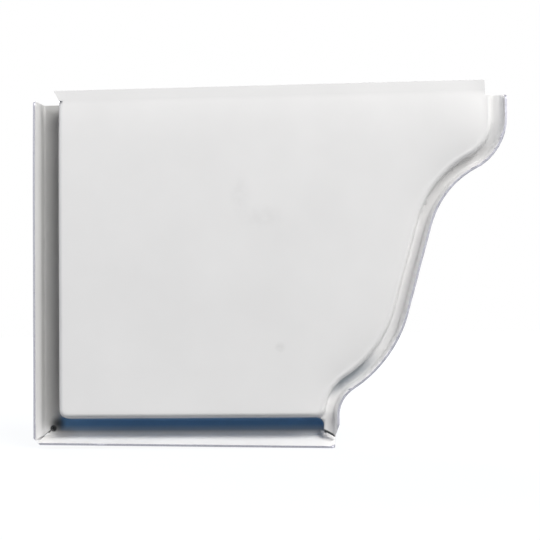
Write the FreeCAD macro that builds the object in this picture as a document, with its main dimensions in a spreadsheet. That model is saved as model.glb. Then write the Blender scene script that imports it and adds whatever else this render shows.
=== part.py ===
import FreeCAD, Part
import math
import os
import Sketcher

# Gutter end cap: one folded and drawn sheet, in millimetres.
# X runs from the gutter's back wall to its moulded front, Z is up, and -Y points into the gutter.
# The origin is the outer lower back corner of the gutter, on the floor of the deep channel behind and below.
# The channel along the moulded front is shallower and ends in a step down to the deep one.

# Driving sizes, each with its alias, its value and what it measures.
SIZES = [
    ("sheet", "0.6", "thickness of the sheet"),
    ("boss_rise", "8", "deep channel floor to panel face"),
    ("front_rise", "3.4", "front channel floor to panel face, and to the edge of the front lip"),
    ("lip_rise", "8", "deep channel floor to the edge of the back and bottom lips"),
    ("wall_lean", "8", "lean of the boss wall in degrees"),
    ("panel_bend", "1.4", "bend from panel to wall, on the inside face"),
    ("foot_bend", "0.8", "bend from wall to channel floor, on the inside face"),
    ("lip_bend", "0.8", "bend from channel floor to lip, on the inside face"),
    ("back_gap", "5", "floor of the back channel"),
    ("bottom_gap", "4.5", "floor of the bottom channel"),
    ("front_gap", "2.5", "floor of the front channel"),
    ("back_flare", "4", "outward lean of the back lip in degrees"),
    ("heel_flare", "8.5", "outward lean of the bottom lip at the back, in degrees"),
    ("toe_flare", "18", "outward lean of the bottom lip at the front, in degrees"),
    ("front_flare", "15", "outward lean of the front lip in degrees"),
    ("gutter_width", "129", "back lip to front lip at the top"),
    ("base_width", "82.3", "back lip to front lip at the bottom"),
    ("back_height", "94.2", "bottom lip to the top of the back channel"),
    ("front_height", "92.8", "bottom lip to the top of the front channel"),
    ("front_face", "6.2", "upright front face, from the top of the front channel down"),
    ("nose_radius", "14.4", "convex turn below the front face"),
    ("cove_radius", "26.3", "hollow of the moulding"),
    ("slope_angle", "15.5", "lean of the straight middle of the moulding, in degrees"),
    ("slope_reach", "105.2", "back lip to the straight middle, at slope_height"),
    ("slope_height", "47.2", "where slope_reach is measured"),
    ("belly_radius", "34.7", "swell of the moulding"),
    ("toe_radius", "9.8", "hollow above the toe"),
    ("toe_height", "5.75", "where the toe becomes upright"),
    ("corner_radius", "3.3", "lower corners of the boss, at the deep channel floor"),
    ("step_corner", "1.4", "turn of the bottom channel into the step at its front end"),
    ("strip_height", "2.7", "strip above the channels"),
    ("strip_tilt", "5", "lean of the strip out of the gutter, in degrees"),
    ("strip_bend", "2", "bend below the strip, on the inside face"),
    ("strip_overhang", "1.4", "slant of the strip's back end"),
    ("strip_setback", "1.5", "strip's front end from the edge of the boss"),
    ("slit", "0.25", "gap between the lips at the back corner"),
    ("relief_radius", "0.6", "hole at the inner end of the slit"),
    ("relief_x", "2.4", "back corner to relief hole, along X"),
    ("relief_z", "2", "back corner to relief hole, along Z"),
    ("heel_clip", "1.1", "clipped corner of the lips at the back"),
    ("heel_tab", "4.6", "sides of the tab folded over behind the relief hole"),
    ("toe_slit_height", "1.75", "height at which the front slit meets the step"),
    ("toe_slit_fall", "29", "fall of the front slit towards the front, in degrees"),
    ("toe_taper", "4", "height below which the front lip tapers to its foot"),
    ("lip_corner", "1.2", "rounding of the lips' free corners"),
]

document = FreeCAD.newDocument("gutter_end_cap")
sheet_cells = document.addObject("Spreadsheet::Sheet", "Sizes")
for row, (alias, text, note) in enumerate(SIZES, start=1):
    sheet_cells.set(f"A{row}", note)
    sheet_cells.set(f"B{row}", text)
    sheet_cells.setAlias(f"B{row}", alias)
document.recompute()


class Size:
    """A number together with the spreadsheet expression that it comes from."""

    def __init__(self, number, text=None):
        self.number = float(number)
        self.text = text or repr(float(number))

    def __add__(self, other):
        other = as_size(other)
        return Size(self.number + other.number, f"({self.text} + {other.text})")

    def __sub__(self, other):
        other = as_size(other)
        return Size(self.number - other.number, f"({self.text} - {other.text})")

    def __rsub__(self, other):
        return as_size(other) - self

    def __mul__(self, other):
        other = as_size(other)
        return Size(self.number * other.number, f"({self.text} * {other.text})")

    def __truediv__(self, other):
        other = as_size(other)
        return Size(self.number / other.number, f"({self.text} / {other.text})")

    def __neg__(self):
        return Size(-self.number, f"(-1 * {self.text})")


def as_size(value):
    return value if isinstance(value, Size) else Size(value)


def sine(angle):
    return Size(math.sin(math.radians(angle.number)), f"sin({angle.text})")


def cosine(angle):
    return Size(math.cos(math.radians(angle.number)), f"cos({angle.text})")


def tangent(angle):
    return Size(math.tan(math.radians(angle.number)), f"tan({angle.text})")


def length_of(across, down):
    text = f"sqrt({across.text} * {across.text} + {down.text} * {down.text})"
    return Size(math.hypot(across.number, down.number), text)


def other_side(slant, side):
    """The other short side of a right-angled triangle."""
    text = f"sqrt({slant.text} * {slant.text} - {side.text} * {side.text})"
    return Size(math.sqrt(slant.number ** 2 - side.number ** 2), text)


size = {alias: Size(text, f"Sizes.{alias}") for alias, text, note in SIZES}
zero = Size(0)

# Places that follow from the driving sizes. An inset is measured from the foot of the boss, at the deep floor.
lean_run = size["boss_rise"] * tangent(size["wall_lean"])
half_fold = (90 - size["wall_lean"]) / 2
panel_inset = lean_run + size["panel_bend"] * tangent(half_fold)
foot_reach = size["foot_bend"] * tangent(half_fold)
wall_fold = 90 - size["wall_lean"]
foot_drop = size["foot_bend"] * (1 - sine(size["wall_lean"]))
wall_drop = foot_drop + size["panel_bend"] * (1 - sine(size["wall_lean"]))
wall_flat = (size["boss_rise"] - wall_drop) / cosine(size["wall_lean"])
front_flat = (size["front_rise"] - wall_drop) / cosine(size["wall_lean"])
step_rise = size["boss_rise"] - size["front_rise"]
step_inset = step_rise * tangent(size["wall_lean"])
step_flat = (step_rise - foot_drop) / cosine(size["wall_lean"])
nose_height = size["front_height"] - size["front_face"]
strip_back = size["back_gap"] + lean_run
strip_front = size["gutter_width"] - size["front_gap"] - lean_run + step_inset - size["strip_setback"]

# Where the boss's lower front corner starts to turn: the step turns down from there, the front wall up.
ball_height = size["bottom_gap"] + size["corner_radius"]
ball_gap = size["toe_radius"] + size["front_gap"] + size["corner_radius"] - step_inset
ball_x = size["base_width"] + size["toe_radius"] - other_side(ball_gap, size["toe_height"] - ball_height)
step_height = size["bottom_gap"] - size["step_corner"]
low_end = -size["lip_rise"]


def point(x, y):
    return FreeCAD.Vector(x, y, 0)


def new_body(name):
    return document.addObject("PartDesign::Body", name)


def new_sketch(body, name, plane, offset=zero):
    """A sketch on one of the body's own origin planes, moved along its normal by offset."""
    sketch = body.newObject("Sketcher::SketchObject", name)
    support = next(item for item in body.Origin.OriginFeatures if item.Role == plane)
    sketch.AttachmentSupport = [(support, "")]
    sketch.MapMode = "FlatFace"
    sketch.setExpression(".AttachmentOffset.Base.z", offset.text)
    return sketch


def bind(sketch, kind, members, value):
    """Adds a dimension and ties it to the spreadsheet."""
    number = math.radians(value.number) if kind == "Angle" else value.number
    index = sketch.addConstraint(Sketcher.Constraint(kind, *members, number))
    unit = " * 1 deg" if kind == "Angle" else ""
    sketch.setExpression(f"Constraints[{index}]", value.text + unit)


def bind_place(sketch, member, x=None, y=None):
    """Ties a point to its distances from the sketch's origin."""
    for kind, value, axis in (("DistanceX", x, -2), ("DistanceY", y, -1)):
        if value is None:
            continue
        if abs(value.number) < 1e-9:
            sketch.addConstraint(Sketcher.Constraint("PointOnObject", *member, axis))
        elif value.number > 0:
            bind(sketch, kind, (-1, 1, *member), value)
        else:
            bind(sketch, kind, (*member, -1, 1), -value)


def add_line(sketch, start, end):
    """Returns the piece as its number and its first and last vertex."""
    return sketch.addGeometry(Part.LineSegment(point(*start), point(*end))), 1, 2


def add_arc(sketch, centre, radius, start, end):
    """An arc from one angle to another, in degrees, either way round."""
    circle = Part.Circle(point(*centre), FreeCAD.Vector(0, 0, 1), radius)
    low, high = sorted((math.radians(start), math.radians(end)))
    piece = sketch.addGeometry(Part.ArcOfCircle(circle, low, high))
    return (piece, 1, 2) if end > start else (piece, 2, 1)


def join(sketch, first, second, kind="Tangent"):
    """Joins the last vertex of one piece to the first vertex of the next."""
    sketch.addConstraint(Sketcher.Constraint(kind, first[0], first[2], second[0], second[1]))


def turned(piece):
    """The same piece, followed from its other end."""
    return piece[0], piece[2], piece[1]


def set_way(sketch, piece, kind):
    sketch.addConstraint(Sketcher.Constraint(kind, piece[0]))


def draw_polygon(sketch, corners):
    """A closed outline with every corner tied to the spreadsheet."""
    places = [(x.number, y.number) for x, y in corners]
    pieces = [add_line(sketch, a, b) for a, b in zip(places, places[1:] + places[:1])]
    for index, piece in enumerate(pieces):
        join(sketch, pieces[index - 1], piece, "Coincident")
    for piece, (x, y) in zip(pieces, corners):
        bind_place(sketch, piece[:2], x, y)


def draw_fold(sketch, start, heading, outside, steps):
    """The cross-section of the sheet along a row of bends and flats.

    start lies on the inside face, heading is its first direction in degrees, and outside is +1 where the
    outside face lies to the left of it. A step is ("bend", turn, radius) or ("flat", length), with the
    radius on the inside face and turn positive to the left.
    """
    way = as_size(heading)
    ways = [way]
    thickness = size["sheet"].number
    x, y = start[0].number, start[1].number
    inside = []
    cover = []
    for step in steps:
        angle = math.radians(way.number)
        normal = (-math.sin(angle), math.cos(angle))
        shift = (outside * thickness * normal[0], outside * thickness * normal[1])
        if step[0] == "flat":
            length = step[1]
            end = (x + length.number * math.cos(angle), y + length.number * math.sin(angle))
            inside.append(add_line(sketch, (x, y), end))
            far_end = (end[0] + shift[0], end[1] + shift[1])
            cover.append(add_line(sketch, (x + shift[0], y + shift[1]), far_end))
            bind(sketch, "Angle", inside[-1][:1], way)
            bind(sketch, "Distance", inside[-1][:1], length)
            sketch.addConstraint(Sketcher.Constraint("Parallel", inside[-1][0], cover[-1][0]))
            x, y = end
        else:
            turn, radius = step[1], step[2]
            side = 1 if turn.number > 0 else -1
            centre = (x + side * radius.number * normal[0], y + side * radius.number * normal[1])
            first = way.number - 90 * side
            last = first + turn.number
            inside.append(add_arc(sketch, centre, radius.number, first, last))
            cover.append(add_arc(sketch, centre, radius.number - side * outside * thickness, first, last))
            bind(sketch, "Radius", inside[-1][:1], radius)
            centres = (inside[-1][0], 3, cover[-1][0], 3)
            sketch.addConstraint(Sketcher.Constraint("Coincident", *centres))
            x = centre[0] + radius.number * math.cos(math.radians(last))
            y = centre[1] + radius.number * math.sin(math.radians(last))
            way = way + turn
    ways.append(way)
    for face in (inside, cover):
        for first, second in zip(face, face[1:]):
            join(sketch, first, second)
    for end, vertex in ((0, 1), (-1, 2)):
        place = [sketch.getPoint(face[end][0], face[end][vertex]) for face in (inside, cover)]
        cap = add_line(sketch, (place[0].x, place[0].y), (place[1].x, place[1].y))
        for face, cap_vertex in ((inside, 1), (cover, 2)):
            meeting = (face[end][0], face[end][vertex], cap[0], cap_vertex)
            sketch.addConstraint(Sketcher.Constraint("Coincident", *meeting))
        if steps[end][0] == "bend":
            across = "Vertical" if round(ways[end].number) % 180 == 0 else "Horizontal"
            set_way(sketch, cap, across)
            aligned = (inside[end][0], 3, inside[end][0], inside[end][vertex])
            sketch.addConstraint(Sketcher.Constraint(across, *aligned))
        else:
            sketch.addConstraint(Sketcher.Constraint("Perpendicular", inside[end][0], cap[0]))
        if end == 0:
            bind(sketch, "Distance", cap[:1], size["sheet"])
    bind_place(sketch, inside[0][:2], *start)


def slope_directions():
    """The directions out of and down the straight middle of the moulding."""
    lean = math.radians(size["slope_angle"].number)
    normal = FreeCAD.Vector(math.cos(lean), -math.sin(lean), 0)
    down = FreeCAD.Vector(-math.sin(lean), -math.cos(lean), 0)
    return normal, down


def front_arcs(offset):
    """Centres and radii of the moulding's four arcs, moved out by offset."""
    out = offset.number
    normal, down = slope_directions()
    middle = point(size["slope_reach"].number, size["slope_height"].number)
    nose = point(size["gutter_width"].number - size["nose_radius"].number, nose_height.number)
    toe = point(size["base_width"].number + size["toe_radius"].number, size["toe_height"].number)

    def touching(fixed, fixed_radius, radius, side, along):
        """Centre of an arc that touches the straight middle and a fixed arc."""
        base = middle + normal * (side * radius)
        gap = base - fixed
        middle_run = gap.dot(along)
        span = (fixed_radius + radius) ** 2 - gap.dot(gap) + middle_run ** 2
        return base + along * (math.sqrt(span) - middle_run)

    cove = touching(nose, size["nose_radius"].number, size["cove_radius"].number, 1, down)
    belly = touching(toe, size["toe_radius"].number, size["belly_radius"].number, -1, down * -1)
    radii = {
        "nose": size["nose_radius"].number + out,
        "cove": size["cove_radius"].number - out,
        "belly": size["belly_radius"].number + out,
        "toe": size["toe_radius"].number - out,
    }
    return {"nose": nose, "cove": cove, "belly": belly, "toe": toe}, radii


def bearing(start, end):
    return math.degrees(math.atan2(end.y - start.y, end.x - start.x))


def draw_front(sketch, offset, toe_start):
    """The moulded front, from the angle at which the toe's hollow starts up to its top."""
    centres, radii = front_arcs(offset)
    toe_end = bearing(centres["toe"], centres["belly"])
    nose_start = bearing(centres["nose"], centres["cove"])
    lean = size["slope_angle"].number
    normal = slope_directions()[0]
    low = centres["belly"] + normal * radii["belly"]
    high = centres["cove"] - normal * radii["cove"]
    front_x = size["gutter_width"].number + offset.number

    def arc(name, start, end):
        centre = centres[name]
        return add_arc(sketch, (centre.x, centre.y), radii[name], start, end)

    toe = arc("toe", toe_start, toe_end)
    belly = arc("belly", toe_end - 180, -lean)
    slope = add_line(sketch, (low.x, low.y), (high.x, high.y))
    cove = arc("cove", 180 - lean, nose_start + 180)
    nose = arc("nose", nose_start, 0)
    face = add_line(sketch, (front_x, centres["nose"].y), (front_x, size["front_height"].number))
    pieces = [toe, belly, slope, cove, nose, face]
    for first, second in zip(pieces, pieces[1:]):
        join(sketch, first, second)
    set_way(sketch, face, "Vertical")
    bind(sketch, "Radius", toe[:1], size["toe_radius"] - offset)
    bind(sketch, "Radius", belly[:1], size["belly_radius"] + offset)
    bind(sketch, "Radius", cove[:1], size["cove_radius"] - offset)
    bind(sketch, "Radius", nose[:1], size["nose_radius"] + offset)
    bind_place(sketch, (toe[0], 3), size["base_width"] + size["toe_radius"], size["toe_height"])
    bind_place(sketch, (nose[0], 3), size["gutter_width"] - size["nose_radius"], nose_height)
    bind(sketch, "Angle", slope[:1], 90 - size["slope_angle"])
    reach = size["slope_reach"] * cosine(size["slope_angle"])
    rise = size["slope_height"] * sine(size["slope_angle"])
    bind(sketch, "Distance", (-1, 1, slope[0]), reach - rise + offset)
    bind_place(sketch, face[::2], y=size["front_height"])
    return pieces


def draw_back(sketch, inset):
    """The boss from the top of its back, round its heel and along its base to the front corner."""
    radius = size["corner_radius"] - inset
    left = size["back_gap"] + inset
    bottom = size["bottom_gap"] + inset
    heel = (left.number + radius.number, bottom.number + radius.number)
    back = add_line(sketch, (left.number, size["back_height"].number), (left.number, heel[1]))
    heel_arc = add_arc(sketch, heel, radius.number, 180, 270)
    base = add_line(sketch, (heel[0], bottom.number), (ball_x.number, bottom.number))
    join(sketch, back, heel_arc)
    join(sketch, heel_arc, base)
    set_way(sketch, back, "Vertical")
    set_way(sketch, base, "Horizontal")
    bind(sketch, "Radius", heel_arc[:1], radius)
    bind_place(sketch, back[:2], left, size["back_height"])
    bind_place(sketch, base[:2], y=bottom)
    return back, base


def draw_ball(sketch, inset, start=270):
    """The boss from its lower front corner up its moulded front, starting at an angle in degrees."""
    radius = size["corner_radius"] - inset
    centres, radii = front_arcs(zero)
    ball = point(ball_x.number, ball_height.number)
    meeting = bearing(ball, centres["toe"]) + 360
    ball_arc = add_arc(sketch, (ball.x, ball.y), radius.number, start, meeting)
    front = draw_front(sketch, step_inset - inset - size["front_gap"], meeting - 180)
    join(sketch, ball_arc, front[0])
    bind(sketch, "Radius", ball_arc[:1], radius)
    return ball_arc, front[-1]


def draw_step(sketch, inset, low=low_end, end=90):
    """The step at the front end of the bottom channel, from the height low up and round to an angle in degrees."""
    radius = size["step_corner"] + inset
    side = ball_x.number + radius.number
    rise = add_line(sketch, (side, low.number), (side, step_height.number))
    corner = add_arc(sketch, (ball_x.number, step_height.number), radius.number, 0, end)
    join(sketch, rise, corner)
    set_way(sketch, rise, "Vertical")
    bind(sketch, "Radius", corner[:1], radius)
    bind_place(sketch, (corner[0], 3), x=ball_x)
    bind_place(sketch, rise[:2], y=low)
    return rise, corner


def draw_front_rim(sketch, inset):
    """The line of the front lip, from below its foot to its top."""
    foot_x = size["base_width"] - inset
    upright = add_line(sketch, (foot_x.number, low_end.number), (foot_x.number, size["toe_height"].number))
    front = draw_front(sketch, -inset, 180)
    join(sketch, upright, front[0])
    set_way(sketch, upright, "Vertical")
    bind_place(sketch, upright[:2], y=low_end)
    return upright, front[-1]


def start_square(sketch, arc):
    """Starts an arc straight above or below its centre."""
    sketch.addConstraint(Sketcher.Constraint("Vertical", arc[0], 3, *arc[:2]))


def close_outline(sketch, first, last, corners=()):
    """Lines from one vertex of an outline to another, past the corners given."""
    start = sketch.getPoint(*first)
    end = sketch.getPoint(*last)
    places = [(start.x, start.y), *((x.number, y.number) for x, y in corners), (end.x, end.y)]
    lines = [add_line(sketch, a, b) for a, b in zip(places, places[1:])]
    for before, after in zip(lines, lines[1:]):
        join(sketch, before, after, "Coincident")
    sketch.addConstraint(Sketcher.Constraint("Coincident", *first, *lines[0][:2]))
    sketch.addConstraint(Sketcher.Constraint("Coincident", *last, *lines[-1][::2]))
    for line, corner in zip(lines, corners):
        bind_place(sketch, line[::2], *corner)


def pad(body, name, profile, length):
    feature = body.newObject("PartDesign::Pad", name)
    feature.Profile = profile
    feature.setExpression("Length", length.text)
    return feature


def pipe(body, name, profile, path):
    feature = body.newObject("PartDesign::AdditivePipe", name)
    feature.Profile = profile
    feature.Spine = (path, [f"Edge{number + 1}" for number in range(path.GeometryCount)])
    feature.Mode = "Binormal"
    feature.Binormal = FreeCAD.Vector(0, 1, 0)
    return feature


def cut_through(body, name, profile):
    feature = body.newObject("PartDesign::Pocket", name)
    feature.Profile = profile
    feature.Type = "ThroughAll"
    feature.Midplane = True
    return feature


def round_off(body, name, plane, centre, edge_way, end_way):
    """Cuts a lip's free corner to an arc about centre.

    edge_way and end_way are the directions, in degrees, that point out of the lip's edge and out of its end.
    """
    outline = new_sketch(body, f"{name}_outline", plane)
    radius = size["lip_corner"]
    x, y = centre[0].number, centre[1].number

    def spot(way, radii):
        angle = math.radians(way.number)
        reach = radius.number * radii
        return x + reach * math.cos(angle), y + reach * math.sin(angle)

    arc = add_arc(outline, (x, y), radius.number, edge_way.number, end_way.number)
    past_end = add_line(outline, spot(end_way, 1), spot(end_way, 3))
    past_edge = add_line(outline, spot(edge_way, 1), spot(edge_way, 3))
    far_side = add_line(outline, spot(end_way, 3), spot(edge_way, 3))
    join(outline, arc, past_end, "Perpendicular")
    join(outline, turned(arc), past_edge, "Perpendicular")
    join(outline, past_end, far_side, "Coincident")
    join(outline, far_side, turned(past_edge), "Coincident")
    bind(outline, "Radius", arc[:1], radius)
    bind_place(outline, (arc[0], 3), *centre)
    for line, way in ((past_end, end_way), (past_edge, edge_way)):
        bind(outline, "Angle", line[:1], way)
        bind(outline, "Distance", line[:1], radius * 2)
    return cut_through(body, name, outline)


def top_corner(edge, height):
    """Centre of the rounding at the top of an upright lip, square on to it."""
    return size["lip_corner"] - edge, height - size["lip_corner"]


def lip_steps(rise, flare, turn):
    """Bend and flat of a lip that leans out by flare, folded to the left (+1) or right (-1)."""
    fold = (90 - flare) * turn
    flat = (rise - size["lip_bend"] * (1 - sine(flare))) / cosine(flare)
    return [("bend", fold, size["lip_bend"]), ("flat", flat)]


class BackCorner:
    """The lower back corner, where the bottom lip meets the back lip along a slit."""

    def __init__(self):
        self.relief = (size["relief_x"], size["relief_z"])
        self.foot = (zero, zero)
        self.run = tangent(size["back_flare"])
        self.drop = tangent(size["heel_flare"])
        reach = size["heel_clip"] / (self.run + self.drop)
        self.tip = (-(self.run * reach), -(self.drop * reach))
        self.near = size["lip_rise"] * 2
        self.far = self.near + size["heel_clip"]

    def below(self):
        """What is taken off the back lip: all that lies below the slit and past the clipped corner."""
        slit = [self.relief, self.foot, self.tip]
        return slit + [(-self.far, self.near), (-self.far, -self.near), (self.relief[0], -self.near)]

    def beside(self):
        """What is taken off the bottom lip: all that lies beside the slit and past the clipped corner."""
        slit = [self.relief, self.foot, self.tip]
        return slit + [(self.near, -self.far), (-self.near, -self.far), (-self.near, self.relief[1])]

    def slit(self):
        """Outline of the slit, from the relief hole past the clipped corner."""
        half = size["slit"] / 2
        sides = []
        for across, up in (self.relief, (self.run, self.drop)):
            span = length_of(across, up)
            sides.append((up / span * half, across / span * half))
        (inner_x, inner_y), (outer_x, outer_y) = sides
        end = (-(self.run * self.near), -(self.drop * self.near))
        return [
            (self.relief[0] + inner_x, self.relief[1] - inner_y),
            (inner_x, -inner_y),
            (end[0] + outer_x, end[1] - outer_y),
            (end[0] - outer_x, end[1] + outer_y),
            (-inner_x, inner_y),
            (self.relief[0] - inner_x, self.relief[1] + inner_y),
        ]


back_corner = BackCorner()


def cut_front_end(body, name):
    """Takes off all that lies below the front slit."""
    fall = tangent(size["toe_slit_fall"])
    foot_x = ball_x + size["step_corner"]
    left = foot_x - size["corner_radius"]
    right = foot_x + size["lip_rise"] * 2
    bottom = low_end * 3
    corners = [
        (left, size["toe_slit_height"] + size["corner_radius"] * fall),
        (right, size["toe_slit_height"] - size["lip_rise"] * 2 * fall),
        (right, bottom),
        (left, bottom),
    ]
    end = new_sketch(body, f"{name}_outline", "XZ_Plane")
    draw_polygon(end, corners)
    cut_through(body, name, end)


def make_tray():
    """The panel, its deep wall behind and below, the deep channel's floor and the strip above."""
    body = new_body("tray")
    path = new_sketch(body, "wall_path", "XZ_Plane")
    base = draw_back(path, zero)[1]
    bind_place(path, base[::2], x=ball_x)
    section = new_sketch(body, "wall_section", "XY_Plane", size["back_height"])
    wall = [
        ("bend", -wall_fold, size["panel_bend"]),
        ("flat", wall_flat),
        ("bend", wall_fold, size["foot_bend"]),
    ]
    draw_fold(section, (size["back_gap"] + panel_inset, -size["boss_rise"]), 180, -1, wall)
    pipe(body, "wall", section, path)

    panel = new_sketch(body, "panel_outline", "XZ_Plane", size["boss_rise"] - size["sheet"])
    back, base = draw_back(panel, panel_inset)
    ball, front = draw_ball(panel, panel_inset)
    join(panel, base, ball)
    step = [(strip_front, size["front_height"]), (strip_front, size["back_height"])]
    close_outline(panel, front[::2], back[:2], step)
    pad(body, "panel", panel, size["sheet"])

    floor = new_sketch(body, "floor_outline", "XZ_Plane", -size["sheet"])
    back, base = draw_back(floor, -foot_reach)
    rise, corner = draw_step(floor, -foot_reach, size["lip_bend"])
    join(floor, corner, turned(base))
    rim = [(size["lip_bend"], size["lip_bend"]), (size["lip_bend"], size["back_height"])]
    close_outline(floor, rise[:2], back[:2], rim)
    pad(body, "floor", floor, size["sheet"])

    strip_start = strip_back - size["strip_overhang"] * 2
    strip_section = new_sketch(body, "strip_section", "YZ_Plane", strip_start)
    strip = [("bend", -size["strip_tilt"], size["strip_bend"]), ("flat", size["strip_height"])]
    draw_fold(strip_section, (-size["boss_rise"], size["back_height"]), 90, -1, strip)
    pad(body, "strip", strip_section, strip_front - strip_start)
    slant = new_sketch(body, "strip_slant", "XZ_Plane")
    slant_top = size["back_height"] + size["strip_height"] * 2
    slant_far = strip_start - size["strip_overhang"]
    corners = [
        (strip_back, size["back_height"]),
        (strip_start, slant_top),
        (slant_far, slant_top),
        (slant_far, size["back_height"]),
    ]
    draw_polygon(slant, corners)
    cut_through(body, "strip_end", slant)

    tab = new_sketch(body, "heel_tab_outline", "XZ_Plane", -size["sheet"] * 2)
    near = size["lip_bend"]
    far = size["lip_bend"] + size["heel_tab"]
    draw_polygon(tab, [(near, near), (far, near), (near, far)])
    pad(body, "heel_tab", tab, size["sheet"])
    return body


def make_front():
    """The shallow channel along the moulded front: its wall and its floor."""
    body = new_body("front")
    path = new_sketch(body, "front_wall_path", "XZ_Plane")
    ball = draw_ball(path, step_inset)[0]
    bind_place(path, (ball[0], 3), y=ball_height)
    start_square(path, ball)
    section = new_sketch(body, "front_wall_section", "XY_Plane", size["front_height"])
    wall = [
        ("bend", wall_fold, size["panel_bend"]),
        ("flat", front_flat),
        ("bend", -wall_fold, size["foot_bend"]),
    ]
    panel_edge = size["gutter_width"] - size["front_gap"] - panel_inset + step_inset
    draw_fold(section, (panel_edge, -size["boss_rise"]), 0, 1, wall)
    pipe(body, "front_wall", section, path)

    floor = new_sketch(body, "front_floor_outline", "XZ_Plane", step_rise - size["sheet"])
    apart = size["corner_radius"].number + size["step_corner"].number
    lower = size["step_corner"].number + step_inset.number
    upper = size["corner_radius"].number - step_inset.number + foot_reach.number
    crossing = (apart ** 2 + lower ** 2 - upper ** 2) / (2 * apart)
    lower_end = math.degrees(math.asin(crossing / lower))
    upper_start = 360 - math.degrees(math.asin((apart - crossing) / upper))
    rise, corner = draw_step(floor, step_inset, end=lower_end)
    ball, front = draw_ball(floor, step_inset - foot_reach, upper_start)
    bind_place(floor, (corner[0], 3), y=step_height)
    bind_place(floor, (ball[0], 3), y=ball_height)
    join(floor, corner, ball, "Coincident")
    rim_foot, rim_top = draw_front_rim(floor, size["lip_bend"])
    close_outline(floor, front[::2], rim_top[::2])
    close_outline(floor, rim_foot[:2], rise[:2])
    pad(body, "front_floor", floor, size["sheet"])

    mouth = new_sketch(body, "channel_mouth", "XZ_Plane", -size["sheet"])
    rise, corner = draw_step(mouth, step_inset)
    bind_place(mouth, (corner[0], 3), y=step_height)
    start_square(mouth, turned(corner))
    left = ball_x - size["corner_radius"]
    close_outline(mouth, rise[:2], corner[::2], [(left, low_end), (left, size["bottom_gap"] + step_inset)])
    cut_through(body, "channel_mouth_cut", mouth)
    cut_front_end(body, "front_end")
    return body


def make_step():
    """The step from the front channel down to the bottom one."""
    body = new_body("step")
    path = new_sketch(body, "step_path", "XZ_Plane")
    corner = draw_step(path, zero, size["lip_bend"])[1]
    bind_place(path, (corner[0], 3), y=step_height)
    start_square(path, turned(corner))
    section = new_sketch(body, "step_section", "XY_Plane", size["lip_bend"])
    step = [("flat", step_flat), ("bend", wall_fold, size["foot_bend"])]
    start = (ball_x + size["step_corner"] + step_inset, -step_rise)
    draw_fold(section, start, 180 - wall_fold, -1, step)
    pipe(body, "step_wall", section, path)
    return body


def make_back_lip():
    body = new_body("back_lip")
    section = new_sketch(body, "back_lip_section", "XY_Plane", low_end)
    steps = lip_steps(size["lip_rise"], size["back_flare"], 1)
    draw_fold(section, (size["lip_bend"], zero), 180, -1, steps)
    pad(body, "back_lip_length", section, size["back_height"] - low_end)
    end = new_sketch(body, "back_lip_end", "XZ_Plane")
    draw_polygon(end, back_corner.below())
    cut_through(body, "back_lip_cut", end)
    centre = top_corner(size["lip_rise"], size["back_height"])
    round_off(body, "back_lip_corner", "YZ_Plane", centre, Size(180), Size(90))
    return body


def make_bottom_lip():
    """The bottom lip, which opens out from the back to the front."""
    body = new_body("bottom_lip")
    ends = [
        ("heel_section", low_end, size["heel_flare"]),
        ("toe_section", size["base_width"], size["toe_flare"]),
    ]
    sections = []
    for name, x, flare in ends:
        section = new_sketch(body, name, "YZ_Plane", x)
        draw_fold(section, (zero, size["lip_bend"]), 270, 1, lip_steps(size["lip_rise"], flare, -1))
        sections.append(section)
    loft = body.newObject("PartDesign::AdditiveLoft", "bottom_lip_length")
    loft.Profile = sections[0]
    loft.Sections = sections[1:]
    loft.Ruled = True
    end = new_sketch(body, "bottom_lip_end", "XZ_Plane")
    draw_polygon(end, back_corner.beside())
    cut_through(body, "bottom_lip_cut", end)
    centre = (size["base_width"] - size["lip_corner"], size["lip_corner"] - size["lip_rise"])
    round_off(body, "bottom_lip_corner", "XY_Plane", centre, Size(-90), zero)
    return body


def make_front_lip():
    body = new_body("front_lip")
    path = new_sketch(body, "front_lip_path", "XZ_Plane")
    draw_front_rim(path, zero)
    section = new_sketch(body, "front_lip_section", "XY_Plane", size["front_height"])
    start = (size["gutter_width"] - size["lip_bend"], -step_rise)
    draw_fold(section, start, 0, 1, lip_steps(size["front_rise"], size["front_flare"], -1))
    pipe(body, "front_lip_length", section, path)
    cut_front_end(body, "front_lip_end")
    taper = new_sketch(body, "front_lip_taper", "XZ_Plane")
    reach = size["front_rise"] * tangent(size["front_flare"]) + size["sheet"]
    right = size["base_width"] + reach * 2
    bottom = low_end * 3
    corners = [
        (size["base_width"], zero),
        (right, size["toe_taper"] * 2),
        (right, bottom),
        (size["base_width"], bottom),
    ]
    draw_polygon(taper, corners)
    cut_through(body, "front_lip_taper_cut", taper)
    centre = top_corner(size["boss_rise"], size["front_height"])
    round_off(body, "front_lip_corner", "YZ_Plane", centre, Size(180), Size(90))
    return body


def make_back_slit():
    """What is cut out at the lower back corner, through the floor: the slit and the hole at its inner end."""
    body = new_body("back_slit")
    outline = new_sketch(body, "slit_outline", "XZ_Plane", -size["sheet"])
    draw_polygon(outline, back_corner.slit())
    pad(body, "slit", outline, size["lip_rise"] * 2)
    ring = new_sketch(body, "relief_outline", "XZ_Plane", -size["sheet"])
    centre = point(size["relief_x"].number, size["relief_z"].number)
    hole = ring.addGeometry(Part.Circle(centre, FreeCAD.Vector(0, 0, 1), size["relief_radius"].number))
    bind(ring, "Radius", (hole,), size["relief_radius"])
    bind_place(ring, (hole, 3), *back_corner.relief)
    pad(body, "relief", ring, size["lip_rise"] * 2)
    return body


folded = document.addObject("Part::MultiFuse", "folded")
folded.Shapes = [
    make_tray(),
    make_front(),
    make_step(),
    make_back_lip(),
    make_bottom_lip(),
    make_front_lip(),
]
folded.Refine = True
end_cap = document.addObject("Part::Cut", "end_cap")
end_cap.Label = "end_cap"
end_cap.Base = folded
end_cap.Tool = make_back_slit()
end_cap.Placement = FreeCAD.Placement()
document.recompute()

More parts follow.
